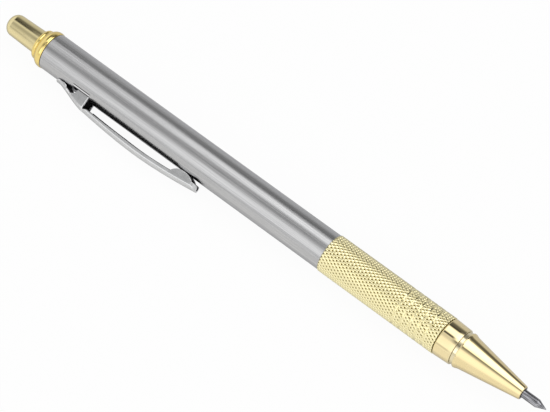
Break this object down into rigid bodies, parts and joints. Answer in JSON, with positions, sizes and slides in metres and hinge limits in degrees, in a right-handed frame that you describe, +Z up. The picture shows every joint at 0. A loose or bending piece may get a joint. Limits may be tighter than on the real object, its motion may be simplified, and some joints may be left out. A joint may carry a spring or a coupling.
{
  "type": "engraving pen",
  "caption": "Slim metal engraving pen: carbide rod in a sprung collet, push button, knurled grip and sheet clip.",
  "frame": {"origin": "middle of the pen's footprint on the surface that it lies on", "axes": "+X along the pen toward its point, +Z up with the pen lying on its side, clip toward -Y and resting on its edge"},
  "size_m": [0.1398, 0.0114, 0.0085],
  "materials": {
    "button_gold": "polished",
    "collar_gold": "polished",
    "barrel_steel": "fine brushed along the barrel",
    "clip_chrome": "polished",
    "grip_gold": "satin knurled",
    "nose_gold": "polished",
    "inner_steel": "turned",
    "inner_brass": "turned",
    "spring_steel": "drawn wire",
    "carbide": "ground"
  },
  "bodies": {
    "holder": {"rear_collar": "collar_gold", "barrel": "barrel_steel", "joining_bush": "inner_brass", "return_spring": "spring_steel", "knurled_grip": "grip_gold", "collet_seat": "inner_steel", "nose_cone": "nose_gold"},
    "clutch": {"push_button": "button_gold", "inner_tube": "inner_steel", "spring_collar": "inner_brass", "collet": "inner_brass"},
    "point": {"carbide_rod": "carbide"},
    "clip": {"clip": "clip_chrome"}
  },
  "joints": [
    {"name": "button_press", "type": "slide", "parent": "holder", "child": "clutch", "axis": [1, 0, 0], "range_m": [0, 0.003], "stiffness_N_per_m": 660, "springref_m": -0.001, "deforming": ["return_spring"]},
    {"name": "point_slide", "type": "slide", "parent": "clutch", "child": "point", "axis": [1, 0, 0], "range_m": [-0.0065, 0.005]},
    {"name": "clip_flex", "type": "hinge", "parent": "holder", "child": "clip", "pos_m": [-0.05305, -0.00248, 0.00284], "axis": [0, 0.3395, -0.9406], "range_deg": [0, 3], "stiffness_Nm_per_rad": 3.7}
  ]
}
